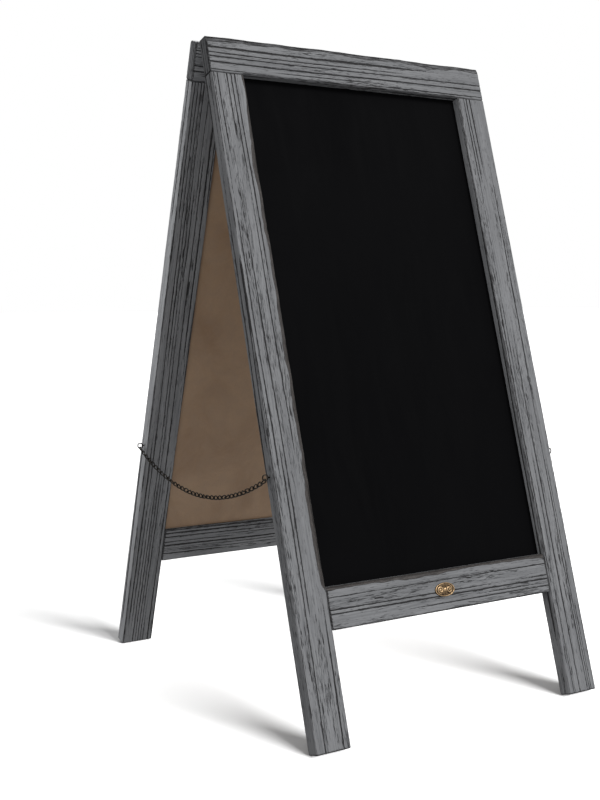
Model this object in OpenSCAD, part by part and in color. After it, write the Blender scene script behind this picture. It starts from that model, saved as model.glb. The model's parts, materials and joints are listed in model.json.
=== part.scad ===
// Folding sandwich board: two framed chalkboards hinged at the top and tied by a chain on each side.
// Row frame: +Z up, the feet on Z = 0, the hinge axis above the origin along X, the front face towards -Y.
// Each framed board is drawn once in its own axes: x across, y outward from its inner face, z up the slope.

/* [Frame] */
// Width of each frame
panel_w = 508; // [380:1:700]
// Height of each frame, measured up its slope
panel_h = 1016; // [800:1:1300]
// Thickness of the boards
board_t = 21; // [16:0.5:28]
// Angle between the two frames as they stand
open_angle = 34; // [24:0.5:42]
// Width of the stiles, the upright boards
stile_w = 55; // [45:0.5:80]
// Height of the top rail
top_rail_h = 56; // [45:0.5:90]
// Height of the bottom rail
bottom_rail_h = 59; // [45:0.5:90]
// Length of the legs below the bottom rail
leg_h = 155; // [80:1:220]

/* [Writing panel] */
// Depth of the inner face in front of the backing board
back_recess = 5; // [2:0.1:6]
// Thickness of the backing board
backing_t = 3.2; // [2.5:0.1:4.5]
// Thickness of the writing sheet
sheet_t = 0.5; // [0.4:0.1:1.5]
// Depth of the groove that holds the panel
groove_d = 8; // [6:0.5:9]

/* [Hinges] */
// Length of a hinge along its pin
hinge_l = 50; // [40:1:70]
// Distance from the board's centre to the middle of each hinge
hinge_x = 150; // [90:1:160]
// Height of a hinge leaf
leaf_h = 24; // [22:0.5:32]
// Thickness of a hinge leaf
leaf_t = 1.6; // [1.2:0.1:2]
// Radius of the hinge pin
pin_r = 1.5; // [1.2:0.1:1.7]

/* [Chains] */
// Height of the screw eyes up the stiles
eye_h = 371; // [300:1:450]
// Distance from a stile's side to the middle of its screw eye
eye_out = 7; // [6.5:0.5:10]
// Thickness of the wire of the links and screw eyes
wire_d = 1.8; // [1.6:0.1:2]
// Length of a chain over the distance between its screw eyes
chain_slack = 1.037; // [1.02:0.001:1.08]

/* [Badge] */
// Width of the oval badge
badge_w = 36; // [24:1:50]
// Height of the oval badge
badge_h = 20; // [14:1:30]

/* [Hidden] */
$fn = 48;

// Colours
paint = "#7d8083";
slate = "#101113";
hardboard = "#6a5545";
beech = "#c8a97c";
brass = "#a98245";
dark_steel = "#3a3835";

// Frame
lean = open_angle / 2;
opening_w = panel_w - 2 * stile_w;
opening_low = leg_h + bottom_rail_h;
opening_high = panel_h - top_rail_h;
loose = 0.1;
groove_w = backing_t + sheet_t + 2 * loose;
panel_in = groove_d - 0.5;
// How far a cutting shape runs past the surface it opens
past = 1;
mid_t = board_t / 2;

// Dowels, two in each corner joint
dowel_r = 4;
dowel_l = 40;
dowel_fit = 0.05;
dowel_end_gap = 0.5;
stile_mid_x = (panel_w - stile_w) / 2;
rail_mid_z = leg_h + bottom_rail_h / 2;
stile_dowel_x = [stile_mid_x - 13, stile_mid_x + 13];
rail_dowel_z = [rail_mid_z - 12, rail_mid_z + 12];

// Hinges
axis_out = 4;
axis_down = 2.5;
knuckle_r = axis_out - 0.4;
knuckle_gap = 0.3;
knuckles = 5;
pin_fit = 0.05;
pin_head_r = 2.6;
pin_head_t = 1.2;
axis_z = panel_h - axis_down;
hinge_z = axis_z * cos(lean) - axis_out * sin(lean);

// Hinge screws: each is [across, down from the axis]
screw_spots = [[-17, 12], [0, 17], [17, 12]];
screw_r = 1.5;
screw_head_r = 3;
screw_l = 15.6;
screw_fit = 0.05;

// Screw eyes and chains
eye_r = 4;
eye_corner_r = 3.4;
eye_thread_r = 1.2;
eye_thread_l = 14;
link_inner_w = 3.4;
link_corner_r = 2;
link_gap = 0.15;
// Sections in each chain and links in each section, both odd
section_count = 7;
section_links = 5;

// A point of the rear frame's side view in the row's [y, z], from its own outward and up-slope distances
function rear_point(out, up) = [
    (out + axis_out) * cos(lean) - (up - axis_z) * sin(lean),
    (out + axis_out) * sin(lean) + (up - axis_z) * cos(lean) + hinge_z,
];

link_count = section_count * section_links;
across_count = (link_count - 1) / 2;
flat_count = across_count + 1;
eye_yz = rear_point(mid_t, eye_h);
// Half the distance between the two hooked wires, and half the length of the chain
half_span = eye_yz[0];
half_chain = half_span * chain_slack;
// Flat links hook over their neighbours' wires, links across carry the pivots in their own ends
link_inner_l = (2 * half_chain + flat_count * (wire_d + 2 * link_gap) - across_count * wire_d)
    / link_count;
flat_pitch = link_inner_l - wire_d - 2 * link_gap;
across_pitch = link_inner_l + wire_d;

function sinh(x) = (exp(x) - exp(-x)) / 2;
function asinh(x) = ln(x + sqrt(x * x + 1));
// The size of the catenary that a chain of this half length makes over the half span, by halving
function hang_size(low, high, steps) =
    let (mid = (low + high) / 2)
    steps == 0 ? mid
    : mid * sinh(half_span / mid) > half_chain ? hang_size(mid, high, steps - 1)
    : hang_size(low, mid, steps - 1);
hang = hang_size(half_span / 4, half_span * 20, 50);
// Length of chain before link n, and the place of the pivot there as [y, z]
function chain_to(n) = ceil(n / 2) * flat_pitch + floor(n / 2) * across_pitch;
function pivot(n) =
    let (s = chain_to(n) - half_chain)
    [
        hang * asinh(s / hang),
        eye_yz[1] - eye_r + sqrt(hang * hang + s * s) - sqrt(hang * hang + half_chain * half_chain),
    ];

// ---- placing ----

module on_rear() {
    translate([0, 0, hinge_z])
        rotate([lean, 0, 0])
            translate([0, axis_out, -axis_z])
                children();
}

module on_front() {
    mirror([0, 1, 0])
        on_rear()
            children();
}

// A box between two corners
module box(low, high) {
    translate(low)
        cube(high - low);
}

// ---- boards of one frame, in the frame's own axes ----

module groove(low, high) {
    box([low[0], back_recess, low[1]], [high[0], back_recess + groove_w, high[1]]);
}

// The right-hand stile
module stile() {
    inner_x = panel_w / 2 - stile_w;
    difference() {
        box([inner_x, 0, 0], [panel_w / 2, board_t, opening_high]);
        groove([inner_x - past, opening_low - groove_d], [inner_x + groove_d, opening_high + past]);
        for (x = stile_dowel_x)
            translate([x, mid_t, opening_high - dowel_l / 2 - dowel_end_gap])
                cylinder(h = dowel_l, r = dowel_r + dowel_fit);
        for (z = rail_dowel_z)
            translate([inner_x - past, mid_t, z])
                rotate([0, 90, 0])
                    cylinder(h = dowel_l / 2 + past + dowel_end_gap, r = dowel_r + dowel_fit);
        translate([panel_w / 2 + past, mid_t, eye_h])
            rotate([0, -90, 0])
                cylinder(h = eye_thread_l + 2 * past, r = eye_thread_r + screw_fit);
    }
}

module top_rail() {
    groove_x = opening_w / 2 + groove_d;
    difference() {
        box([-panel_w / 2, 0, opening_high], [panel_w / 2, board_t, panel_h]);
        groove([-groove_x, opening_high - past], [groove_x, opening_high + groove_d]);
        for (side = [-1, 1], x = stile_dowel_x)
            translate([side * x, mid_t, opening_high - past])
                cylinder(h = dowel_l / 2 + past + dowel_end_gap, r = dowel_r + dowel_fit);
        for (side = [-1, 1], spot = screw_spots)
            translate([side * hinge_x + spot[0], -past, axis_z - spot[1]])
                rotate([-90, 0, 0])
                    cylinder(h = screw_l, r = screw_r + screw_fit);
    }
}

module bottom_rail() {
    half_w = opening_w / 2;
    difference() {
        box([-half_w, 0, leg_h], [half_w, board_t, opening_low]);
        groove([-half_w - past, opening_low - groove_d], [half_w + past, opening_low + past]);
        for (side = [-1, 1], z = rail_dowel_z)
            translate([side * (half_w - dowel_l / 2 - dowel_end_gap), mid_t, z])
                rotate([0, side * 90, 0])
                    cylinder(h = dowel_l, r = dowel_r + dowel_fit);
    }
}

// One ply of the panel, from its back surface
module panel_ply(from, thickness) {
    half_w = opening_w / 2 + panel_in;
    box(
        [-half_w, from, opening_low - panel_in],
        [half_w, from + thickness, opening_high + panel_in]
    );
}

module backing_board() {
    panel_ply(back_recess + loose, backing_t);
}

module chalkboard() {
    panel_ply(back_recess + loose + backing_t, sheet_t);
}

// A beech dowel with bevelled ends, along Z from the origin
module dowel() {
    bevel = 1;
    rotate_extrude()
        polygon([
            [0, 0], [dowel_r - bevel, 0], [dowel_r, bevel],
            [dowel_r, dowel_l - bevel], [dowel_r - bevel, dowel_l], [0, dowel_l],
        ]);
}

module dowels() {
    for (side = [-1, 1], x = stile_dowel_x)
        translate([side * x, mid_t, opening_high - dowel_l / 2])
            dowel();
    for (side = [-1, 1], z = rail_dowel_z)
        translate([side * (opening_w / 2 - dowel_l / 2), mid_t, z])
            rotate([0, side * 90, 0])
                dowel();
}

module badge() {
    rim = 2.4;
    plate_t = 1;
    face_t = 0.8;
    corners = 60;
    translate([0, board_t, rail_mid_z])
        rotate([-90, 0, 0]) {
            linear_extrude(plate_t)
                polygon([for (i = [0:corners - 1])
                    [badge_w / 2 * cos(360 * i / corners), badge_h / 2 * sin(360 * i / corners)]]);
            linear_extrude(plate_t + face_t)
                polygon([for (i = [0:corners - 1]) [
                    (badge_w / 2 - rim) * cos(360 * i / corners),
                    (badge_h / 2 - rim) * sin(360 * i / corners),
                ]]);
        }
}

// ---- hinges, in a frame's own axes ----

// Every other knuckle from the first one; the other leaf has the rest
module hinge_leaf(side, first) {
    pitch = hinge_l / knuckles;
    knuckle_l = pitch - knuckle_gap;
    plate_top = axis_z - axis_out;
    translate([side * hinge_x, 0, 0])
        difference() {
            union() {
                box([-hinge_l / 2, -leaf_t, axis_z - leaf_h], [hinge_l / 2, 0, plate_top]);
                for (k = [first:2:knuckles - 1])
                    translate([k * pitch - hinge_l / 2 + knuckle_gap / 2, 0, 0]) {
                        box([0, -leaf_t, plate_top - 1], [knuckle_l, 0, axis_z]);
                        translate([0, -axis_out, axis_z])
                            rotate([0, 90, 0])
                                cylinder(h = knuckle_l, r = knuckle_r);
                    }
            }
            translate([-hinge_l / 2 - past, -axis_out, axis_z])
                rotate([0, 90, 0])
                    cylinder(h = hinge_l + 2 * past, r = pin_r + pin_fit);
            for (spot = screw_spots)
                translate([spot[0], -leaf_t, axis_z - spot[1]])
                    rotate([-90, 0, 0])
                        screw_body(screw_fit * 2);
        }
}

module hinge_pin(side) {
    shaft = hinge_l + 0.4;
    translate([side * hinge_x, 0, hinge_z])
        rotate([0, 90, 0]) {
            translate([0, 0, -shaft / 2])
                cylinder(h = shaft, r = pin_r);
            for (end = [0, 1])
                mirror([0, 0, end])
                    translate([0, 0, shaft / 2])
                        intersection() {
                            cylinder(h = pin_head_t, r = pin_head_r);
                            translate([0, 0, pin_head_t - pin_head_r * 1.5])
                                sphere(r = pin_head_r * 1.5);
                        }
        }
}

// A countersunk wood screw's outline turned about Z, head at the origin, grown by a clearance
module screw_body(grow) {
    tip_l = 3;
    rotate_extrude()
        polygon([
            [0, -grow], [screw_head_r + grow, -grow], [screw_head_r + grow, 0],
            [screw_r + grow, screw_head_r - screw_r],
            [screw_r + grow, screw_l - tip_l], [0, screw_l],
        ]);
}

module hinge_screws() {
    slot_w = 0.8;
    slot_l = 3.2;
    slot_d = 1;
    for (side = [-1, 1], spot = screw_spots)
        translate([side * hinge_x + spot[0], -leaf_t, axis_z - spot[1]])
            rotate([-90, 0, 0])
                difference() {
                    screw_body(0);
                    for (turn = [0, 90])
                        rotate([0, 0, turn])
                            box([-slot_l / 2, -slot_w / 2, -past], [slot_l / 2, slot_w / 2, slot_d]);
                }
}

// ---- screw eyes and chains ----

// A closed loop of wire in the XY plane with rounded corners, to its wire's centre line
module wire_loop(length, width, corner_r) {
    straight_x = length / 2 - corner_r;
    straight_y = width / 2 - corner_r;
    for (turn = [0, 180])
        rotate([0, 0, turn]) {
            translate([-straight_x, width / 2, 0])
                rotate([0, 90, 0])
                    cylinder(h = 2 * straight_x, d = wire_d);
            translate([length / 2, straight_y, 0])
                rotate([90, 0, 0])
                    cylinder(h = 2 * straight_y, d = wire_d);
            for (flip = [0, 1])
                mirror([0, flip, 0])
                    translate([straight_x, straight_y, 0])
                        rotate_extrude(angle = 90)
                            translate([corner_r, 0])
                                circle(d = wire_d);
        }
}

// The screw eye on the right-hand side, in a frame's own axes; its loop stands upright
module screw_eye() {
    shank_low = panel_w / 2 - eye_thread_l;
    loop_low = panel_w / 2 + eye_out - eye_r;
    translate([0, mid_t, eye_h]) {
        translate([shank_low, 0, 0])
            rotate([0, 90, 0])
                cylinder(h = eye_thread_l, r = eye_thread_r);
        translate([panel_w / 2 - 1, 0, 0])
            rotate([0, 90, 0])
                cylinder(h = loop_low - panel_w / 2 + 1, d = wire_d);
        translate([panel_w / 2 + eye_out, 0, 0])
            rotate([-lean, 0, 0])
                rotate([90, 0, 0])
                    wire_loop(2 * eye_r, 2 * eye_r, eye_corner_r);
    }
}

module link(n) {
    a = pivot(n);
    b = pivot(n + 1);
    slope = atan2(b[1] - a[1], b[0] - a[0]);
    flat = n % 2 == 0;
    translate([panel_w / 2 + eye_out, (a[0] + b[0]) / 2, (a[1] + b[1]) / 2])
        rotate([slope, 0, 0])
            rotate([flat ? 90 : 0, 0, 90])
                wire_loop(link_inner_l + wire_d, link_inner_w + wire_d, link_corner_r);
}

// One section of the right-hand chain, counted from 1 at the front screw eye
module chain_section(number) {
    first = (number - 1) * section_links;
    color(dark_steel)
        for (n = [first:first + section_links - 1])
            link(n);
}

module left() {
    mirror([1, 0, 0])
        children();
}

// ---- the pieces in their places ----

module front_left_stile() { color(paint) on_front() left() stile(); }
module front_right_stile() { color(paint) on_front() stile(); }
module front_top_rail() { color(paint) on_front() top_rail(); }
module front_bottom_rail() { color(paint) on_front() bottom_rail(); }
module front_chalkboard() { color(slate) on_front() chalkboard(); }
module front_backing_board() { color(hardboard) on_front() backing_board(); }
module front_dowels() { color(beech) on_front() dowels(); }
module brass_badge() { color(brass) on_front() badge(); }
module rear_left_stile() { color(paint) on_rear() left() stile(); }
module rear_right_stile() { color(paint) on_rear() stile(); }
module rear_top_rail() { color(paint) on_rear() top_rail(); }
module rear_bottom_rail() { color(paint) on_rear() bottom_rail(); }
module rear_chalkboard() { color(slate) on_rear() chalkboard(); }
module rear_backing_board() { color(hardboard) on_rear() backing_board(); }
module rear_dowels() { color(beech) on_rear() dowels(); }
module left_hinge_front_leaf() { color(dark_steel) on_front() hinge_leaf(-1, 0); }
module left_hinge_rear_leaf() { color(dark_steel) on_rear() hinge_leaf(-1, 1); }
module left_hinge_pin() { color(dark_steel) hinge_pin(-1); }
module right_hinge_front_leaf() { color(dark_steel) on_front() hinge_leaf(1, 0); }
module right_hinge_rear_leaf() { color(dark_steel) on_rear() hinge_leaf(1, 1); }
module right_hinge_pin() { color(dark_steel) hinge_pin(1); }
module front_hinge_screws() { color(dark_steel) on_front() hinge_screws(); }
module rear_hinge_screws() { color(dark_steel) on_rear() hinge_screws(); }
module front_left_screw_eye() { color(dark_steel) on_front() left() screw_eye(); }
module front_right_screw_eye() { color(dark_steel) on_front() screw_eye(); }
module rear_left_screw_eye() { color(dark_steel) on_rear() left() screw_eye(); }
module rear_right_screw_eye() { color(dark_steel) on_rear() screw_eye(); }

front_left_stile();
front_right_stile();
front_top_rail();
front_bottom_rail();
front_chalkboard();
front_backing_board();
front_dowels();
brass_badge();
rear_left_stile();
rear_right_stile();
rear_top_rail();
rear_bottom_rail();
rear_chalkboard();
rear_backing_board();
rear_dowels();
left_hinge_front_leaf();
left_hinge_rear_leaf();
left_hinge_pin();
right_hinge_front_leaf();
right_hinge_rear_leaf();
right_hinge_pin();
front_hinge_screws();
rear_hinge_screws();
front_left_screw_eye();
front_right_screw_eye();
rear_left_screw_eye();
rear_right_screw_eye();
left() chain_section(1);  // left_chain_section_1
left() chain_section(2);  // left_chain_section_2
left() chain_section(3);  // left_chain_section_3
left() chain_section(4);  // left_chain_section_4
left() chain_section(5);  // left_chain_section_5
left() chain_section(6);  // left_chain_section_6
left() chain_section(7);  // left_chain_section_7
chain_section(1);  // right_chain_section_1
chain_section(2);  // right_chain_section_2
chain_section(3);  // right_chain_section_3
chain_section(4);  // right_chain_section_4
chain_section(5);  // right_chain_section_5
chain_section(6);  // right_chain_section_6
chain_section(7);  // right_chain_section_7
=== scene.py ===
import json
import math

import bmesh
import bpy
import numpy as np
from mathutils import Matrix, Vector


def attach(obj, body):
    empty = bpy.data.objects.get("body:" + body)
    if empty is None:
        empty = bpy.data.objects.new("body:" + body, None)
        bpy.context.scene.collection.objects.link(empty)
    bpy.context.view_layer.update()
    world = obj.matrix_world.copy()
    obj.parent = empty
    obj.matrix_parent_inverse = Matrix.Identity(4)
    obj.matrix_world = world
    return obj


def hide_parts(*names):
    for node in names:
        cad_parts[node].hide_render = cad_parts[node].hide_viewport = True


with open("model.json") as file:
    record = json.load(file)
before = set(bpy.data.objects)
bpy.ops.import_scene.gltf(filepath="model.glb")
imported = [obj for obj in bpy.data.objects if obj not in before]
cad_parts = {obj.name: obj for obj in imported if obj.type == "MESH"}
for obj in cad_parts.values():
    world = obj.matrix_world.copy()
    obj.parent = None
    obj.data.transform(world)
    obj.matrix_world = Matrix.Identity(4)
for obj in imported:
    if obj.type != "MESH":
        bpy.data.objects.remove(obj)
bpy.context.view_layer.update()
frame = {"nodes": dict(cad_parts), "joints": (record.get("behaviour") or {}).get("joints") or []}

# ---- where things are, all worked out from the frame ----

MM = 0.001
FRONT, REAR = "front", "rear"
OUTWARD = {FRONT: -1.0, REAR: 1.0}
SIDES = {"left": -1.0, "right": 1.0}

fold = next(j for j in frame["joints"] if j["name"] == "fold")
HINGE = Vector(fold["pos_m"])
LEAN = math.radians(-fold["range_deg"][0]) / 2


def frame_axes(which):
    """The across, up-slope and outward directions of one framed board, as rows."""
    y = OUTWARD[which]
    return np.array([
        [1.0, 0.0, 0.0],
        [0.0, -y * math.sin(LEAN), math.cos(LEAN)],
        [0.0, y * math.cos(LEAN), math.sin(LEAN)],
    ])


def node_points(node):
    co = np.empty(len(frame["nodes"][node].data.vertices) * 3, np.float32)
    frame["nodes"][node].data.vertices.foreach_get("co", co)
    return co.reshape(-1, 3).astype(float)


def local_box(node, which):
    """A node's lowest and highest corner along its frame's own axes, from the hinge axis."""
    points = (node_points(node) - np.array(HINGE)) @ frame_axes(which).T
    return points.min(0), points.max(0)


def to_row(points, which):
    return points @ frame_axes(which) + np.array(HINGE)


# ---- noise ----

def lattice(p, seed):
    """Smooth value noise from 0 to 1 at the points p, one unit a cell."""
    cell = np.floor(p).astype(np.int64)
    f = p - cell
    f = f * f * (3 - 2 * f)
    total = 0.0
    for corner in range(8):
        step = np.array([corner & 1, corner >> 1 & 1, corner >> 2 & 1])
        c = cell + step
        h = c[:, 0] * 374761393 + c[:, 1] * 668265263 + c[:, 2] * 2246822519 + seed * 3266489917
        h = (h ^ (h >> 13)) * 1274126177 & 0xFFFFFFFF
        h = (h ^ (h >> 16)) & 0xFFFF
        weight = np.prod(np.where(step, f, 1 - f), axis=1)
        total = total + weight * h / 65535.0
    return total


def layered(p, seed, layers=3):
    total, share, size = 0.0, 0.0, 1.0
    for i in range(layers):
        total = total + size * lattice(p * 2.0**i, seed + 17 * i)
        share += size
        size *= 0.5
    return total / share


def ease(low, high, x):
    t = np.clip((x - low) / (high - low), 0, 1)
    return t * t * (3 - 2 * t)


# ---- meshes ----

def mesh_object(name, points, faces, smooth=True):
    mesh = bpy.data.meshes.new(name)
    mesh.from_pydata([tuple(p) for p in points], [], faces)
    turned = bmesh.new()
    turned.from_mesh(mesh)
    bmesh.ops.recalc_face_normals(turned, faces=turned.faces)
    turned.to_mesh(mesh)
    turned.free()
    if smooth:
        mesh.shade_smooth()
    obj = bpy.data.objects.new(name, mesh)
    bpy.context.scene.collection.objects.link(obj)
    return obj


def set_attribute(obj, name, values):
    kind = "FLOAT" if values.ndim == 1 else "FLOAT_VECTOR"
    attribute = obj.data.attributes.new(name, kind, "POINT")
    key = "value" if values.ndim == 1 else "vector"
    attribute.data.foreach_set(key, values.astype(np.float32).ravel())


def ring_faces(rows, count):
    """The quads between consecutive rings of count points."""
    i = np.arange(rows - 1)[:, None] * count
    j = np.arange(count)[None, :]
    k = (j + 1) % count
    return np.stack([i + j, i + k, i + count + k, i + count + j], axis=-1).reshape(-1, 4).tolist()


# ---- painted boards ----

EDGE_R = 1.8 * MM
ACROSS_STEP = 0.65 * MM
ALONG_STEP = 2.6 * MM
GROOVE_DEPTH = 0.75 * MM
PORE_DEPTH = 0.35 * MM
# How far apart a board's long grooves lie, in mm, and how few of them are deep, from 0 to 1
STILE_RINGS = {FRONT: (5.6, 0.36), REAR: (5.2, 0.30)}
RAIL_RINGS = {"top_rail": (6.2, 0.36), "bottom_rail": (4.8, 0.28)}
# How steeply a worn edge is bevelled, and its reach on the narrow side over its reach on the face
WEAR_SLOPE = 0.30
SIDE_REACH = 0.4
# How far wear reaches in from an arris that nothing rubs, and from where on it bares the wood, in mm
PLAIN_WEAR = 1.5
BARING_WEAR = 4.0


def board_outline(width, thick, slot):
    """A board's cross-section: points, outward normals and the slot points' places when the slot
    closes. b runs across the face and c outward; the slot is (low c, high c, depth) on the -b side."""
    half_b, half_c = width / 2, thick / 2
    flat_b, flat_c = half_b - EDGE_R, half_c - EDGE_R
    points, normals = [], []

    def side(start, end, normal):
        n = max(2, round(math.dist(start, end) / ACROSS_STEP))
        for t in range(n):
            points.append([start[i] + (end[i] - start[i]) * t / n for i in (0, 1)])
            normals.append(normal)

    def corner(cb, cc, turn):
        for t in range(4):
            a = math.radians(turn - 90 * t / 4)
            points.append([cb + EDGE_R * math.cos(a), cc + EDGE_R * math.sin(a)])
            normals.append((math.cos(a), math.sin(a)))

    side((-flat_b, half_c), (flat_b, half_c), (0, 1))
    corner(flat_b, flat_c, 90)
    side((half_b, flat_c), (half_b, -flat_c), (1, 0))
    corner(flat_b, -flat_c, 0)
    side((flat_b, -half_c), (-flat_b, -half_c), (0, -1))
    corner(-flat_b, -flat_c, -90)
    low, high, depth = slot
    side((-half_b, -flat_c), (-half_b, low), (-1, 0))
    first = len(points)
    walls = [(0, low), (depth / 3, low), (depth * 2 / 3, low), (depth, low), (depth, (low + high) / 2),
             (depth, high), (depth * 2 / 3, high), (depth / 3, high), (0, high)]
    for d, c in walls:
        points.append([-half_b + d, c])
        normals.append((-1, 0))
    spread = [[-half_b, low + (high - low) * t / (len(walls) - 1)] for t in range(len(walls))]
    side((-half_b, high + ACROSS_STEP), (-half_b, flat_c), (-1, 0))
    corner(-flat_b, flat_c, 180)
    return np.array(points), np.array(normals, float), first, np.array(spread)


def rings_of(grain, seed):
    """The distance of each point from the pith of its tree, in mm, with the sway of the trunk.
    grain is in mm: along, across and outward from the middle of the board."""
    a, b, c = grain.T
    chance = lattice(np.array([[seed * 1.7, 0.3, 0.1], [seed * 2.3, 0.9, 0.4]]), 5)
    pith_b = math.copysign(110 + 90 * abs(chance[0] - 0.5), chance[0] - 0.5)
    pith_c = -50 - 50 * chance[1]
    along = a + 977.0 * seed
    sway = 7 * layered(np.stack([along / 340, b / 160, c / 160], 1), seed + 1, 2)
    jitter = 0.5 * layered(np.stack([along / 13, b / 5, c / 5], 1), seed + 2, 2)
    return np.hypot(b - pith_b + sway + jitter, c - pith_c + 0.5 * sway), along


def grain_fields(grain, seed, gap, faint):
    """How deep each point lies in a long grain groove and in a short pore, and how thick the pores
    lie there, each from 0 to 1."""
    ring, along = rings_of(grain, seed)
    b, c = grain[:, 1], grain[:, 2]
    flat = np.zeros_like(ring)
    # one groove a year, unevenly spaced, each with its own strength and width along its length
    years = (ring + 7.0 * lattice(np.stack([flat, ring / 9, flat], 1), seed + 3)) / gap
    year = np.floor(years)
    past_ring = (years - year - 0.5) * gap
    off_ring = np.abs(past_ring)
    strength = ease(faint, faint + 0.2, lattice(np.stack([along / 230, year * 1.7, flat], 1), seed + 4))
    ragged = layered(np.stack([along / 9, year * 2.3, b / 3], 1), seed + 5, 2)
    half_groove = 0.12 + 0.55 * lattice(np.stack([along / 120, year * 3.1, flat], 1), seed + 8) + 0.5 * ragged
    lines = strength * (1 - ease(half_groove - 0.4, half_groove + 0.35, off_ring))
    thick = ease(0.54, 0.72, layered(np.stack([along / 150, ring / 6.5, flat], 1), seed + 6, 2))
    beside = strength * np.exp(-np.abs(past_ring - 1.2) / 1.4)
    thick = np.maximum(thick, 0.7 * beside)
    dash = lattice(np.stack([along / 15, b / 1.0, c / 1.0], 1), seed + 7)
    dashes = ease(0.76, 0.92, dash + 0.08 * thick)
    return lines, dashes * thick, thick


def worn_band(b, c, half_b, half_c, near_panel, grain, reaches, seed):
    """How worn each point is and how bare its wood, from 0 to 1, and how far its edge sinks. reaches
    holds how far in mm wear goes from the arrises: on the front face by the panel and away from it,
    then on the inner face."""
    along = (grain[:, 0] + 977.0 * seed)[:, None]
    wear, bare, sink = np.zeros_like(b), np.zeros_like(b), np.zeros_like(b)
    for i, reach in enumerate(reaches):
        b_side, c_side = (-1, 1)[i % 2], (1, -1)[i // 2]
        wander = layered(np.hstack([along / 38, along * 0 + i, along * 0]), seed + 20 + i, 3)
        long_wander = layered(np.hstack([along / 170, along * 0 + i, along * 0]), seed + 30 + i, 1)
        if b_side < 0:
            reach = PLAIN_WEAR + (reach - PLAIN_WEAR) * near_panel
        reach = reach * MM * (0.25 + 1.0 * wander + 0.6 * long_wander)
        place = (half_b - b * b_side) / reach + (half_c - c * c_side) / (SIDE_REACH * reach)
        here = 1 - ease(0.75, 1.08, place)
        wear = np.maximum(wear, here)
        if i == 0 and reaches[0] > BARING_WEAR:
            bare = here * near_panel
        sink = np.maximum(sink, WEAR_SLOPE * reach * np.clip(1 - place, 0, 1))
    return wear, bare, sink


def board(node, which, along, slot_on, seed, reaches, rings):
    """One painted board built over a CAD board: along is the axis its grain follows, slot_on the side
    that takes the panel and rings the gap and faintness of its grain grooves."""
    low, high = local_box(node, which)
    a_axis, b_axis = (1, 0) if along == "up" else (0, 1)
    centre = (low + high) / 2
    size = high - low
    length, width, thick = size[a_axis], size[b_axis], size[2]
    half_a, half_b, half_c = length / 2, width / 2, thick / 2

    # its rings of points from end to end, with the slot open only beside the panel
    panel_low, panel_high = local_box(f"{which}_backing_board", which)
    sheet_high = local_box(f"{which}_chalkboard", which)[1]
    slot = (panel_low[2] - centre[2] - 0.1 * MM, sheet_high[2] - centre[2] + 0.1 * MM, 8 * MM)
    points, normals, first, spread = board_outline(width, thick, slot)
    slot_from = panel_low[a_axis] - centre[a_axis] - 0.5 * MM
    slot_to = panel_high[a_axis] - centre[a_axis] + 0.5 * MM
    turn = np.radians([0, 22, 45, 67])
    cap_insets = np.linspace(half_c - 0.5 * MM, EDGE_R, 14)[:-1]
    end_places = [*(-half_a + 0 * cap_insets), *(-half_a + EDGE_R * (1 - np.cos(turn)))]
    end_insets = [*cap_insets, *(EDGE_R * (1 - np.sin(turn)))]
    inner = np.linspace(-half_a + EDGE_R, half_a - EDGE_R, round(length / ALONG_STEP))
    places = np.array([*end_places, *inner, *(-p for p in end_places[::-1])])
    insets = np.array([*end_insets, *(0 * inner), *end_insets[::-1]])
    rows, count = len(places), len(points)
    open_rows = (places > slot_from) & (places < slot_to)
    outline = np.repeat(points[None], rows, 0)
    outline[~open_rows, first:first + len(spread)] = spread
    outline[..., 0] *= (1 - 2 * insets / width)[:, None]
    outline[..., 1] *= (1 - 2 * insets / thick)[:, None]
    a = places.repeat(count)
    b, c = outline[..., 0].ravel(), outline[..., 1].ravel()
    normal_b, normal_c = np.tile(normals[:, 0], rows), np.tile(normals[:, 1], rows)
    cap = (insets >= EDGE_R * 0.99).repeat(count)
    in_slot = np.zeros(count, bool)
    in_slot[first + 1:first + len(spread) - 1] = True
    outside = ~(open_rows[:, None] & in_slot).ravel()

    # weather it; on the end caps the grain is drawn along the board's width
    grain = np.stack([a, b, c], 1) / MM
    grain[cap] = np.stack([b, c, a * 0 + 9 * MM], 1)[cap] / MM
    lines, pores, thickness = grain_fields(grain, seed, *rings)
    near_panel = ease(0, 14 * MM, a - slot_from) * ease(0, 14 * MM, slot_to - a)
    wear, bare, bevel_depth = worn_band(b, c, half_b, half_c, near_panel, grain, reaches, seed)
    tip = np.exp(-((half_a - np.abs(a)) / (1.6 * MM)) ** 2) * ~cap
    wear = np.maximum(wear, tip) * outside
    groove = np.maximum(lines, pores) * outside
    sink = (GROOVE_DEPTH * lines * ~cap + PORE_DEPTH * pores * ~cap + bevel_depth) * outside
    b, c = b - normal_b * sink, c - normal_c * sink

    out = np.zeros((rows * count, 3))
    out[:, a_axis] = a + centre[a_axis]
    out[:, b_axis] = b * -slot_on + centre[b_axis]
    out[:, 2] = c + centre[2]
    faces = ring_faces(rows, count)
    faces.append(list(range(count)))
    faces.append(list(range((rows - 1) * count, rows * count)))
    obj = mesh_object(f"{node}_painted", to_row(out, which), faces)
    set_attribute(obj, "grain", (grain + np.array([977.0, 57.0, 91.0]) * seed) * MM)
    set_attribute(obj, "groove", groove)
    set_attribute(obj, "pores", thickness * outside)
    set_attribute(obj, "wear", wear)
    set_attribute(obj, "bare", bare)
    obj.data.materials.append(material("painted_wood"))
    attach(obj, f"{which}_frame")
    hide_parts(node)
    return obj


# ---- materials ----

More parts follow.
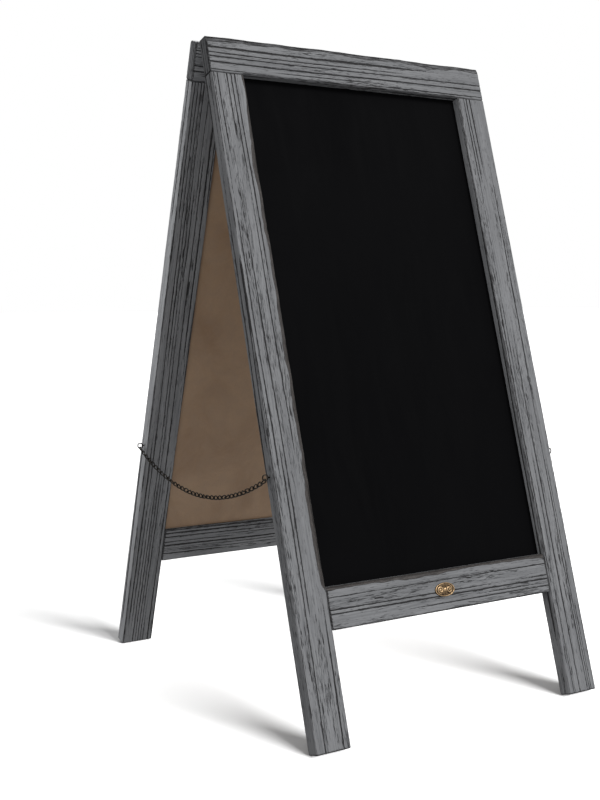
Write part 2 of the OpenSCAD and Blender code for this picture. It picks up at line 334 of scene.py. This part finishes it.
class Nodes:
    """A short way to write a material's node tree."""

    def __init__(self, name):
        self.material = bpy.data.materials.new(name)
        self.material.use_nodes = True
        self.tree = self.material.node_tree
        self.tree.nodes.clear()
        self.shader = self.add("ShaderNodeBsdfPrincipled")
        output = self.add("ShaderNodeOutputMaterial")
        self.join(self.shader.outputs[0], output.inputs["Surface"])

    def add(self, kind, **settings):
        node = self.tree.nodes.new(kind)
        for key, value in settings.items():
            setattr(node, key, value)
        return node

    def join(self, source, target):
        if hasattr(source, "is_output"):
            self.tree.links.new(source, target)
        else:
            target.default_value = source

    def attribute(self, name):
        node = self.add("ShaderNodeAttribute", attribute_name=name)
        return node.outputs["Vector"] if name == "grain" else node.outputs["Fac"]

    def place(self):
        return self.add("ShaderNodeTexCoord").outputs["Object"]

    def scaled(self, vector, scale):
        node = self.add("ShaderNodeMapping")
        self.join(vector, node.inputs["Vector"])
        node.inputs["Scale"].default_value = scale
        return node.outputs["Vector"]

    def noise(self, vector, scale, detail=3.0, roughness=0.55, distortion=0.0):
        node = self.add("ShaderNodeTexNoise")
        self.join(self.scaled(vector, scale), node.inputs["Vector"])
        node.inputs["Scale"].default_value = 1.0
        node.inputs["Detail"].default_value = detail
        node.inputs["Roughness"].default_value = roughness
        node.inputs["Distortion"].default_value = distortion
        return node.outputs["Fac"]

    def math(self, operation, a, b=0.0, clamp=False):
        node = self.add("ShaderNodeMath", operation=operation, use_clamp=clamp)
        self.join(a, node.inputs[0])
        self.join(b, node.inputs[1])
        return node.outputs[0]

    def span(self, value, low, high, to_low=0.0, to_high=1.0):
        node = self.add("ShaderNodeMapRange", interpolation_type="SMOOTHSTEP")
        self.join(value, node.inputs["Value"])
        node.inputs["From Min"].default_value = low
        node.inputs["From Max"].default_value = high
        node.inputs["To Min"].default_value = to_low
        node.inputs["To Max"].default_value = to_high
        return node.outputs["Result"]

    def mix(self, amount, a, b):
        node = self.add("ShaderNodeMix", data_type="RGBA")
        self.join(amount, node.inputs["Factor"])
        for value, key in ((a, 6), (b, 7)):
            self.join((*value, 1.0) if isinstance(value, tuple) else value, node.inputs[key])
        return node.outputs[2]

    def bump(self, height, distance, strength=1.0):
        node = self.add("ShaderNodeBump")
        self.join(height, node.inputs["Height"])
        node.inputs["Distance"].default_value = distance
        node.inputs["Strength"].default_value = strength
        return node.outputs["Normal"]

    def surface(self, **values):
        for key, value in values.items():
            socket = self.shader.inputs[key.replace("_", " ")]
            self.join((*value, 1.0) if isinstance(value, tuple) else value, socket)
        return self.material


def painted_wood():
    n = Nodes("painted_wood")
    grain = n.attribute("grain")
    groove, pores, wear, bare = (n.attribute(key) for key in ("groove", "pores", "wear", "bare"))
    dash = n.noise(grain, (75.0, 1250.0, 1250.0), 2.0, 0.5)
    chip = n.noise(grain, (230.0, 1500.0, 1500.0), 3.0, 0.65)
    brushed = n.noise(grain, (40.0, 2300.0, 2300.0), 2.0)
    streak = n.noise(grain, (12.0, 420.0, 420.0), 3.0)
    cloud = n.noise(grain, (7.0, 50.0, 50.0), 3.0)
    speck = n.noise(grain, (420.0, 1500.0, 1500.0), 3.0, 0.7)
    reach = n.math("ADD", dash, n.math("MULTIPLY", pores, 0.10))
    fine_pore = n.span(reach, 0.62, 0.72, 0.0, 0.85)
    # chips break the edges of the painted grooves
    broken = n.math("ADD", groove, n.math("MULTIPLY", n.math("SUBTRACT", chip, 0.5), 1.3))
    dark = n.math("MAXIMUM", n.math("MULTIPLY", n.span(broken, 0.20, 0.50), n.span(groove, 0.02, 0.16)), fine_pore)
    paint = n.mix(n.span(cloud, 0.3, 0.7), (0.168, 0.171, 0.179), (0.222, 0.226, 0.235))
    paint = n.mix(n.span(streak, 0.42, 0.72, 0.0, 0.6), paint, (0.100, 0.104, 0.110))
    paint = n.mix(n.span(brushed, 0.35, 0.75, 0.0, 0.4), paint, (0.095, 0.098, 0.104))
    stain = n.mix(n.span(speck, 0.35, 0.7), (0.006, 0.006, 0.007), (0.024, 0.023, 0.023))
    colour = n.mix(n.math("MULTIPLY", dark, 0.95), paint, stain)
    scuff = n.noise(grain, (60.0, 420.0, 420.0), 4.0, 0.7)
    wood = n.mix(n.span(scuff, 0.40, 0.60), (0.018, 0.015, 0.014), (0.128, 0.112, 0.104))
    wood = n.mix(n.span(speck, 0.40, 0.66, 0.0, 0.6), (0.030, 0.027, 0.026), wood)
    dirt = n.mix(n.span(scuff, 0.42, 0.60), (0.011, 0.011, 0.012), (0.100, 0.101, 0.106))
    wood = n.mix(n.span(bare, 0.15, 0.45), dirt, wood)
    ragged = n.math("MULTIPLY", n.math("SUBTRACT", n.noise(grain, (85.0, 650.0, 650.0), 4.0, 0.75), 0.5), 1.5)
    worn = n.span(n.math("ADD", wear, ragged), 0.34, 0.60)
    rim = n.math("SUBTRACT", 1.0, n.math("ABSOLUTE", n.math("SUBTRACT", n.math("MULTIPLY", wear, 2.0), 1.0)))
    rim = n.math("MULTIPLY", rim, n.span(cloud, 0.36, 0.50))
    colour = n.mix(worn, colour, wood)
    colour = n.mix(n.span(n.math("ADD", rim, ragged), 0.35, 0.85, 0.0, 0.85), colour, (0.012, 0.011, 0.011))
    height = n.math("SUBTRACT", n.math("MULTIPLY", brushed, 0.35), dark)
    height = n.math("ADD", height, n.math("MULTIPLY", speck, 0.25))
    rough = n.math("ADD", n.span(dark, 0.0, 1.0, 0.58, 0.82), n.math("MULTIPLY", brushed, 0.10))
    return n.surface(
        Base_Color=colour, Roughness=rough, Normal=n.bump(height, 0.0005, 0.7), Specular_IOR_Level=0.3)


def chalkboard():
    n = Nodes("chalkboard")
    at = n.place()
    haze = n.noise(at, (3.0, 3.0, 3.0), 4.0, 0.6, 0.8)
    wipe = n.noise(at, (26.0, 6.0, 5.0), 4.0, 0.6, 1.2)
    grit = n.noise(at, (1800.0, 1800.0, 1800.0), 2.0)
    dust = n.math("MULTIPLY", n.span(haze, 0.35, 0.8), n.span(wipe, 0.35, 0.75))
    colour = n.mix(dust, (0.0019, 0.0019, 0.0023), (0.0034, 0.0034, 0.0039))
    colour = n.mix(n.span(grit, 0.62, 0.8, 0.0, 0.35), colour, (0.0075, 0.0075, 0.0082))
    rough = n.span(wipe, 0.2, 0.8, 0.66, 0.80)
    return n.surface(
        Base_Color=colour, Roughness=rough, Normal=n.bump(grit, 0.00006, 0.5), Specular_IOR_Level=0.03)


def hardboard():
    n = Nodes("hardboard")
    at = n.place()
    blotch = n.noise(at, (9.0, 9.0, 9.0), 5.0, 0.62, 0.6)
    mottle = n.noise(at, (55.0, 55.0, 55.0), 4.0, 0.6)
    fibre = n.noise(at, (700.0, 420.0, 420.0), 3.0, 0.65, 1.5)
    colour = n.mix(n.span(blotch, 0.34, 0.66), (0.235, 0.150, 0.091), (0.305, 0.206, 0.130))
    colour = n.mix(n.span(mottle, 0.35, 0.7, 0.0, 0.5), colour, (0.262, 0.186, 0.130))
    colour = n.mix(n.span(fibre, 0.55, 0.8, 0.0, 0.5), colour, (0.120, 0.078, 0.052))
    rough = n.span(mottle, 0.3, 0.7, 0.48, 0.66)
    height = n.math("ADD", fibre, n.math("MULTIPLY", mottle, 0.5))
    return n.surface(
        Base_Color=colour, Roughness=rough, Normal=n.bump(height, 0.00015, 0.5), Specular_IOR_Level=0.3)


def dark_steel():
    n = Nodes("dark_steel")
    at = n.place()
    patch = n.noise(at, (220.0, 220.0, 220.0), 3.0)
    scratch = n.noise(at, (2600.0, 500.0, 500.0), 2.0)
    rubbed = n.math("MULTIPLY", n.span(patch, 0.45, 0.7), n.span(scratch, 0.4, 0.75))
    colour = n.mix(rubbed, (0.030, 0.026, 0.022), (0.260, 0.230, 0.185))
    rough = n.span(patch, 0.3, 0.7, 0.30, 0.52)
    return n.surface(
        Base_Color=colour, Metallic=0.9, Roughness=rough, Normal=n.bump(scratch, 0.00004, 0.5))


def brass():
    n = Nodes("brass")
    at = n.place()
    tarnish = n.noise(at, (260.0, 260.0, 260.0), 4.0, 0.6)
    fine = n.noise(at, (2200.0, 2200.0, 2200.0), 2.0)
    low = n.attribute("hollow")
    aged = n.math("ADD", low, n.span(tarnish, 0.4, 0.75, 0.0, 0.35), True)
    colour = n.mix(aged, (0.560, 0.385, 0.215), (0.026, 0.016, 0.011))
    rough = n.math("ADD", n.span(aged, 0.0, 1.0, 0.34, 0.65), n.math("MULTIPLY", fine, 0.08))
    return n.surface(Base_Color=colour, Metallic=1.0, Roughness=rough, Normal=n.bump(fine, 0.00005, 0.4))


def beech():
    n = Nodes("beech")
    at = n.place()
    streak = n.noise(at, (40.0, 700.0, 700.0), 3.0)
    fleck = n.noise(at, (900.0, 900.0, 160.0), 2.0)
    colour = n.mix(n.span(streak, 0.3, 0.7), (0.52, 0.34, 0.19), (0.66, 0.46, 0.28))
    colour = n.mix(n.span(fleck, 0.6, 0.8, 0.0, 0.5), colour, (0.34, 0.20, 0.11))
    return n.surface(Base_Color=colour, Roughness=0.6, Normal=n.bump(streak, 0.0001, 0.5))


MAKERS = {f.__name__: f for f in (painted_wood, chalkboard, hardboard, dark_steel, brass, beech)}
made = {}


def material(name):
    if name not in made:
        made[name] = MAKERS[name]()
    return made[name]


# ---- the boards ----

# How far wear reaches in mm from each board's arrises: on the front face by the panel and away from
# it, then on the inner face by the panel and away from it
WORN = {
    "left_stile": (7.5, 1.6, 2.0, 2.0),
    "right_stile": (2.4, 1.6, 2.0, 2.0),
    "top_rail": (2.0, 9.0, 1.6, 2.0),
    "bottom_rail": (6.0, 2.4, 2.0, 1.6),
}


def build_boards():
    boards = {}
    for order, which in enumerate((FRONT, REAR)):
        seed = 3 + 10 * order
        for side, sign in SIDES.items():
            node = f"{which}_{side}_stile"
            boards[node] = board(node, which, "up", -sign, seed, WORN[f"{side}_stile"], STILE_RINGS[which])
            seed += 1
        for rail, slot_on in (("top_rail", -1.0), ("bottom_rail", 1.0)):
            node = f"{which}_{rail}"
            boards[node] = board(node, which, "across", slot_on, seed, WORN[rail], RAIL_RINGS[rail])
            seed += 1
    return boards


# ---- the chains and screw eyes ----

def tube(points, radius, closed=True, around=10):
    """The points and quads of a round wire along a path."""
    path = np.array(points)
    n = len(path)
    ahead = np.roll(path, -1, 0) - np.roll(path, 1, 0)
    if not closed:
        ahead[0], ahead[-1] = path[1] - path[0], path[-1] - path[-2]
    ahead /= np.linalg.norm(ahead, axis=1)[:, None]
    # carry one normal along the path, and share out what is left over on a closed one
    normal = np.cross(ahead[0], [0.31, 0.52, 0.79])
    normals = []
    for t in ahead:
        normal = normal - t * (normal @ t)
        normal /= np.linalg.norm(normal)
        normals.append(normal)
    if closed:
        back = normals[-1] - ahead[0] * (normals[-1] @ ahead[0])
        back /= np.linalg.norm(back)
        gap = math.atan2(np.cross(back, normals[0]) @ ahead[0], back @ normals[0])
        turned = []
        for i, (t, u) in enumerate(zip(ahead, normals)):
            s = gap * i / n
            turned.append(u * math.cos(s) + np.cross(t, u) * math.sin(s))
        normals = turned
    verts = []
    for p, t, u in zip(path, ahead, normals):
        v = np.cross(t, u)
        for k in range(around):
            a = 2 * math.pi * k / around
            verts.append(p + radius * (u * math.cos(a) + v * math.sin(a)))
    faces = []
    for i in range(n if closed else n - 1):
        j = (i + 1) % n
        for k in range(around):
            m = (k + 1) % around
            faces.append((i * around + k, i * around + m, j * around + m, j * around + k))
    if not closed:
        faces.append(tuple(range(around))[::-1])
        faces.append(tuple(range((n - 1) * around, n * around)))
    return np.array(verts), faces


def islands(node):
    """The separate solids of a CAD node, each as its points, in order along Y."""
    mesh = bmesh.new()
    mesh.from_mesh(frame["nodes"][node].data)
    bmesh.ops.remove_doubles(mesh, verts=mesh.verts, dist=1e-6)
    mesh.verts.ensure_lookup_table()
    seen, found = set(), []
    for v in mesh.verts:
        if v.index in seen:
            continue
        stack, group = [v], []
        seen.add(v.index)
        while stack:
            at = stack.pop()
            group.append(at.co.copy())
            for e in at.link_edges:
                o = e.other_vert(at)
                if o.index not in seen:
                    seen.add(o.index)
                    stack.append(o)
        found.append(np.array(group))
    mesh.free()
    return sorted(found, key=lambda g: g[:, 1].mean())


WIRE_R = 0.9 * MM
# Each end of a link is turned this far from the chain's own plane, one way at one end
LINK_TWIST = math.radians(45)


def curb_link(points, hinged_ends):
    """An oval link over a CAD link's place, its two ends turned against each other like curb chain.
    The ends listed in hinged_ends, -1 or 1, keep the CAD link's own plane, so a section can swing."""
    centre = (points.min(0) + points.max(0)) / 2
    cloud = points - centre
    _, _, (long_axis, wide_axis, _) = np.linalg.svd(cloud, full_matrices=False)
    half_long = np.abs(cloud @ long_axis).max() - WIRE_R
    half_wide = np.abs(cloud @ wide_axis).max() - WIRE_R
    own_turn = math.radians(90) if abs(wide_axis[0]) > 0.5 else 0.0
    turns = [end * (own_turn if end in hinged_ends else LINK_TWIST) for end in (-1, 1)]
    long_axis = long_axis * math.copysign(1.0, long_axis[1])
    side_axis = np.array([1.0, 0.0, 0.0])
    wide_axis = np.cross(side_axis, long_axis)
    path = []
    steps = 40
    for i in range(steps):
        t = 2 * math.pi * i / steps
        x = math.copysign(abs(math.cos(t)) ** 0.75, math.cos(t))
        y = math.copysign(abs(math.sin(t)) ** 0.75, math.sin(t)) * half_wide
        turn = turns[0] + (turns[1] - turns[0]) * (x + 1) / 2
        sideways = y * (math.cos(turn) * wide_axis + math.sin(turn) * side_axis)
        path.append(centre + x * half_long * long_axis + sideways)
    return tube(path, WIRE_R)


def build_chains():
    for side in SIDES:
        for node in [n for n in frame["nodes"] if n.startswith(f"{side}_chain_section_")]:
            verts, faces = [], []
            links = islands(node)
            for i, points in enumerate(links):
                hinged_ends = [-1] * (i == 0) + [1] * (i == len(links) - 1)
                v, f = curb_link(points, hinged_ends)
                faces += [tuple(i + len(verts) for i in q) for q in f]
                verts += v.tolist()
            obj = mesh_object(node.replace("section", "links"), verts, faces)
            obj.data.materials.append(material("dark_steel"))
            number = node.rsplit("_", 1)[1]
            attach(obj, f"{side}_chain_{number}")
            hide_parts(node)


# ---- the badge ----

def build_badge():
    low, high = local_box("brass_badge", FRONT)
    centre = (low + high) / 2
    half_w, half_h = (high - low)[:2] / 2
    depth = high[2] - low[2]
    rings, around = 44, 132
    verts, hollow = [], []
    for i in range(rings + 1):
        r = i / rings
        for k in range(around):
            a = 2 * math.pi * k / around
            x, y = r * math.cos(a), r * math.sin(a)
            dome = 0.50 + 0.28 * math.sqrt(max(0.0, 1 - (r / 0.84) ** 2))
            rope = 0.5 + 0.5 * math.cos(44 * a + 14 * r)
            # two mirrored scrolls and a rosette between them
            scroll = 0.0
            for sx in (-1, 1):
                dx, dy = (x * sx - 0.42) * half_w / half_h, y * sx
                rr, aa = math.hypot(dx, dy), math.atan2(dy, dx)
                spiral = (rr * 3.0 - aa / (2 * math.pi)) % 1.0
                if rr < 0.62:
                    scroll = max(scroll, math.exp(-((spiral - 0.5) / 0.24) ** 2) * (1 - (rr / 0.62) ** 6))
            petal_r = math.hypot(x * half_w / half_h, y)
            petal = math.exp(-((petal_r / (0.20 + 0.07 * math.cos(6 * a))) ** 4))
            relief = max(scroll * 0.16, petal * 0.22) if r < 0.80 else 0.0
            rim = math.exp(-((r - 0.915) / 0.052) ** 2) * (0.34 + 0.12 * rope)
            height = dome * (r < 0.84) + 0.40 * (r >= 0.84) + relief + rim
            if r > 0.96:
                height = 0.40 * math.sqrt(max(0.0, 1 - ((r - 0.96) / 0.04) ** 2)) + rim * (1 - r) / 0.04
            hollow.append(0.0 if relief > 0.07 or rim > 0.20 else 0.75 if r < 0.84 else 1.0)
            verts.append([centre[0] + x * half_w, centre[1] + y * half_h, low[2] + depth * min(1.0, height)])
    verts = verts[around - 1:]
    hollow = hollow[around - 1:]
    faces = [(0, 1 + k, 1 + (k + 1) % around) for k in range(around)]
    for i in range(rings - 1):
        base, nxt = 1 + i * around, 1 + (i + 1) * around
        for k in range(around):
            m = (k + 1) % around
            faces.append((base + k, nxt + k, nxt + m, base + m))
    # the flat back
    rim_start = 1 + (rings - 1) * around
    back = len(verts)
    for k in range(around):
        verts.append([verts[rim_start + k][0], verts[rim_start + k][1], low[2]])
        hollow.append(1.0)
    for k in range(around):
        m = (k + 1) % around
        faces.append((rim_start + k, back + k, back + m, rim_start + m))
    faces.append(tuple(back + k for k in range(around))[::-1])
    faces = [f[::-1] for f in faces]
    obj = mesh_object("brass_badge_relief", to_row(np.array(verts), FRONT), faces)
    set_attribute(obj, "hollow", np.array(hollow))
    obj.data.materials.append(material("brass"))
    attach(obj, "front_frame")
    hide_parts("brass_badge")


# ---- CAD pieces that stay ----

def finish_cad(names, slot):
    for name in names:
        obj = frame["nodes"][name]
        obj.data.materials.clear()
        obj.data.materials.append(material(slot))


def bevel(names, width):
    for name in names:
        obj = frame["nodes"][name]
        modifier = obj.modifiers.new("edges", "BEVEL")
        modifier.width = width
        modifier.segments = 2
        modifier.limit_method = "ANGLE"
        modifier.angle_limit = math.radians(40)


def dress_cad():
    nodes = frame["nodes"]
    finish_cad([n for n in nodes if n.endswith("_chalkboard")], "chalkboard")
    finish_cad([n for n in nodes if n.endswith("_backing_board")], "hardboard")
    finish_cad([n for n in nodes if n.endswith("_dowels")], "beech")
    steel = [n for n in nodes if "hinge" in n or "eye" in n]
    finish_cad(steel, "dark_steel")
    bevel([n for n in steel if n.endswith("_leaf")], 0.25 * MM)


# ---- stage, light and camera ----

# How bright the studio is around the board: least towards DIM_SIDE, most away from it
STUDIO_LOW = 0.19
STUDIO_HIGH = 0.84
DIM_SIDE = (-0.75, 0.45, -0.48)
# The floor's own soft light, from the front and a little from the right
FLOOR_KEY = (0.50, -2.6, 1.0)


def light(name, kind, place, aim, power, **settings):
    data = bpy.data.lights.new(name, kind)
    data.energy = power
    for key, value in settings.items():
        setattr(data, key, value)
    obj = bpy.data.objects.new(name, data)
    obj.location = place
    obj.rotation_mode = "QUATERNION"
    obj.rotation_quaternion = (Vector(aim) - Vector(place)).to_track_quat("-Z", "Y")
    obj.visible_camera = False
    bpy.context.scene.collection.objects.link(obj)
    return obj


def group(name, objects):
    """A collection outside the scene, to say which objects a light falls on or is blocked by."""
    collection = bpy.data.collections.new(name)
    for obj in objects:
        collection.objects.link(obj)
    return collection


def build_floor():
    floor = mesh_object("floor", [(-30, -30, 0), (30, -30, 0), (30, 30, 0), (-30, 30, 0)], [(0, 1, 2, 3)])
    n = Nodes("floor")
    paper = n.noise(n.place(), (3.0, 3.0, 3.0), 2.0)
    floor.data.materials.append(n.surface(
        Base_Color=n.mix(paper, (0.69, 0.69, 0.69), (0.71, 0.71, 0.71)), Roughness=0.9, Specular_IOR_Level=0.1))
    floor.visible_diffuse = False
    floor.visible_glossy = False
    return floor


def build_world():
    world = bpy.data.worlds.new("studio")
    bpy.context.scene.world = world
    world.use_nodes = True
    tree = world.node_tree
    background = tree.nodes["Background"]
    background.inputs["Color"].default_value = (1.0, 1.0, 1.0, 1.0)
    direction = tree.nodes.new("ShaderNodeTexCoord").outputs["Generated"]
    towards = tree.nodes.new("ShaderNodeVectorMath")
    towards.operation = "DOT_PRODUCT"
    towards.inputs[1].default_value = Vector(DIM_SIDE).normalized()
    tree.links.new(direction, towards.inputs[0])
    level = tree.nodes.new("ShaderNodeMapRange")
    level.inputs["From Min"].default_value = -1.0
    level.inputs["To Min"].default_value = STUDIO_HIGH
    level.inputs["To Max"].default_value = STUDIO_LOW
    tree.links.new(towards.outputs["Value"], level.inputs["Value"])
    # the camera sees the studio as white, whatever it gives in light
    shown = tree.nodes.new("ShaderNodeMix")
    tree.links.new(tree.nodes.new("ShaderNodeLightPath").outputs["Is Camera Ray"], shown.inputs["Factor"])
    tree.links.new(level.outputs["Result"], shown.inputs["A"])
    shown.inputs["B"].default_value = 1.0
    tree.links.new(shown.outputs["Result"], background.inputs["Strength"])


def build_stage(boards):
    floor = build_floor()
    build_world()
    # the board's own key light leaves the floor out, and the floor's is blocked by the legs alone,
    # so the floor shows soft shadows at the feet and no shadow of the panels
    key = light("key", "SUN", (1.2, -2.4, 2.9), (0, 0, 0), 1.9, angle=math.radians(24))
    key.light_linking.receiver_collection = group("all but the floor", [floor])
    key.light_linking.receiver_collection.collection_objects[0].light_linking.link_state = "EXCLUDE"
    floor_key = light("floor_key", "SUN", FLOOR_KEY, (0, 0, 0), 13.8, angle=math.radians(34))
    floor_key.light_linking.receiver_collection = group("the floor", [floor])
    stiles = [obj for node, obj in boards.items() if node.endswith("stile")]
    floor_key.light_linking.blocker_collection = group("the legs", stiles)
    # the rear frame's outer face has a key light of its own
    back = light("back_key", "SUN", (0.8, 2.4, 2.4), (0, 0, 0), 1.5, angle=math.radians(24))
    outer_pieces = [obj for node, obj in boards.items() if node.startswith(REAR)]
    outer_pieces.append(frame["nodes"]["rear_chalkboard"])
    back.light_linking.receiver_collection = group("the rear frame's outer face", outer_pieces)
    # four soft lights from the left, each for the pieces that a studio reflector there would reach
    edge = light("rear_left", "AREA", (-1.6, 0.75, 0.75), (-0.25, 0.25, 0.45), 19.0, shape="DISK", size=0.8)
    edge.light_linking.receiver_collection = group("the rear left stile", [boards["rear_left_stile"]])
    side = light("left", "AREA", (-2.3, 0.0, 0.6), (-0.25, -0.15, 0.5), 8.0, shape="DISK", size=1.0)
    side.light_linking.receiver_collection = group("the front left stile", [boards["front_left_stile"]])
    skim = light("skim", "AREA", (-2.2, -0.45, 0.6), (0.2, -0.15, 0.5), 18.0, shape="DISK", size=1.0)
    skim.light_linking.receiver_collection = group("the front right stile", [boards["front_right_stile"]])
    inner = light("inner", "AREA", (-1.15, -1.0, 1.15), (0.0, 0.1, 0.85), 7.0, shape="DISK", size=1.0)
    rear_pieces = [obj for node, obj in boards.items() if node.startswith(REAR)]
    rear_pieces.append(frame["nodes"]["rear_backing_board"])
    inner.light_linking.receiver_collection = group("the rear frame's inner face", rear_pieces)
    inner.light_linking.blocker_collection = group("the rear frame", rear_pieces)
    view = bpy.context.scene.view_settings
    view.view_transform = "Standard"
    view.look = "None"


CAMERA_AT = (-1.0838, -1.5995, 0.6102)
CAMERA_YAW = math.radians(-32.15)
CAMERA_PITCH = math.radians(-5.16)
LENS = 54.33


def build_camera():
    data = bpy.data.cameras.new("camera")
    data.lens = LENS
    obj = bpy.data.objects.new("camera", data)
    obj.location = CAMERA_AT
    obj.rotation_euler = (math.pi / 2 + CAMERA_PITCH, 0.0, CAMERA_YAW)
    bpy.context.scene.collection.objects.link(obj)
    bpy.context.scene.camera = obj


boards = build_boards()
build_chains()
build_badge()
dress_cad()
build_stage(boards)
build_camera()
